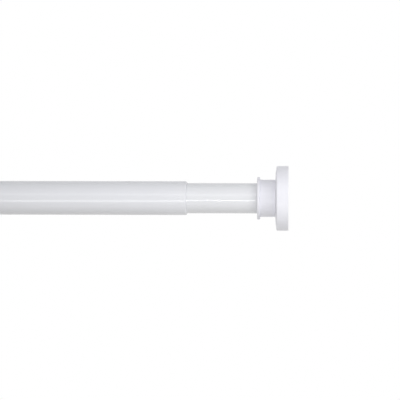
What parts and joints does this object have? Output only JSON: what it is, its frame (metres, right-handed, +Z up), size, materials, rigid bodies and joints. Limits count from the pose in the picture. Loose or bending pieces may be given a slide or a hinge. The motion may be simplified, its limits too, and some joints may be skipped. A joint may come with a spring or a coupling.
{
  "type": "shower curtain rod",
  "caption": "White telescopic shower curtain rod: an inner tube slides and twist-locks in an outer tube, between round screw-on wall flanges.",
  "frame": {"origin": "centre of the left wall plate's screw hole, on the wall face", "axes": "+X along the rod, from the left wall to the right one; +Z up; +Y away from the viewer"},
  "size_m": [0.8076, 0.0532, 0.0532],
  "materials": {
    "coated_tube": "aluminium tube with a smooth white powder coat",
    "cover_plastic": "white moulded plastic, glossy",
    "plate_plastic": "white moulded plastic, satin",
    "bush_plastic": "white moulded plastic, satin",
    "nylon": "natural nylon, satin",
    "zinced_steel": "zinc plated steel"
  },
  "bodies": {
    "root": {"outer_tube": "coated_tube", "mouth_bush": "bush_plastic", "flange_cover_left": "cover_plastic", "wall_plate_left": "plate_plastic"},
    "guide": {"guide_ring": "nylon"},
    "inner": {"inner_tube": "coated_tube", "reducer_sleeve": "bush_plastic", "flange_cover_right": "cover_plastic", "wall_plate_right": "plate_plastic", "lock_plug": "nylon", "lock_washer": "zinced_steel", "lock_screw": "zinced_steel"},
    "lock": {"lock_ring": "nylon"}
  },
  "joints": [
    {"name": "telescope", "type": "slide", "parent": "root", "child": "guide", "axis": [1, 0, 0], "range_m": [-0.0576, 0.4424]},
    {"name": "twist", "type": "hinge", "parent": "guide", "child": "inner", "pos_m": [0.1917, 0, 0], "axis": [1, 0, 0], "range_deg": [-20, 20]},
    {"name": "lock_ring_swing", "type": "hinge", "parent": "inner", "child": "lock", "pos_m": [0.1743, 0, 0.001], "axis": [1, 0, 0], "range_deg": [-20, 20]}
  ],
  "couplings": [
    {"joint": "lock_ring_swing", "follows": "twist", "ratio": -1}
  ]
}
